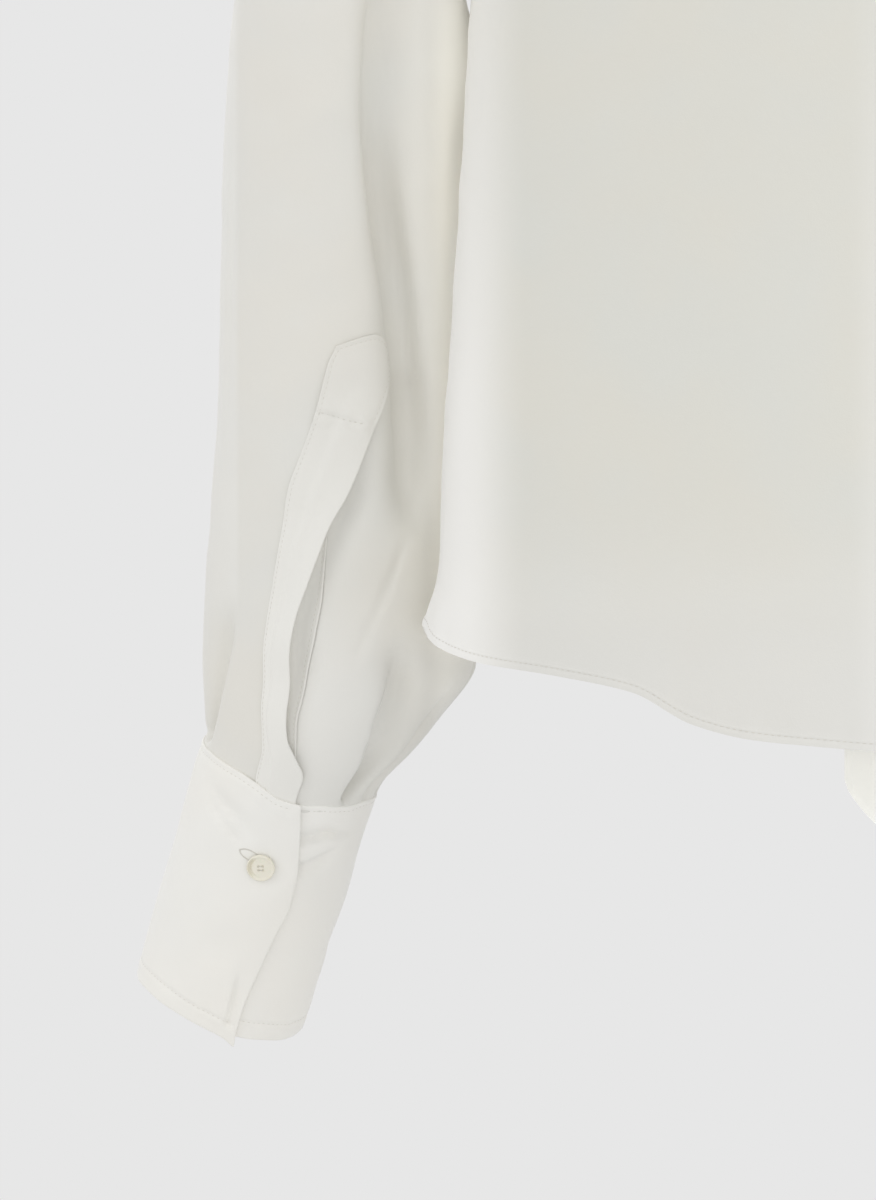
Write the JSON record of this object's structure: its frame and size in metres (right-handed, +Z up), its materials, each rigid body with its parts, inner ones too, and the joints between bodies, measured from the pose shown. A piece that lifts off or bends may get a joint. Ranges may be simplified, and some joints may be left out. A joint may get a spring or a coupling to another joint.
{
  "type": "silk blouse",
  "caption": "Boxy silk blouse, filled out as if worn, with full sleeves, pointed plackets, deep buttoned cuffs and a V neck with a long tie.",
  "frame": {"origin": "base of the wearer's neck, on the centre plane, level with the tops of the shoulder seams", "axes": "+Z up, the wearer faces -Y, the wearer's left is +X"},
  "size_m": [0.7346, 0.3018, 0.7715],
  "materials": {
    "silk": "soft low sheen, off-white silk crepe",
    "button": "polished pearl-coloured"
  },
  "bodies": {
    "root": {"back": "silk", "front": "silk", "sleeve_left": "silk", "sleeve_right": "silk", "placket_left": "silk", "placket_right": "silk", "underlap_left": "silk", "underlap_right": "silk", "cuff_left": "silk", "cuff_right": "silk", "cuff_button_left": "button", "cuff_button_right": "button", "neck_band": "silk", "tie_knot": "silk", "tie_tail_left": "silk", "tie_tail_right": "silk"}
  },
  "joints": []
}
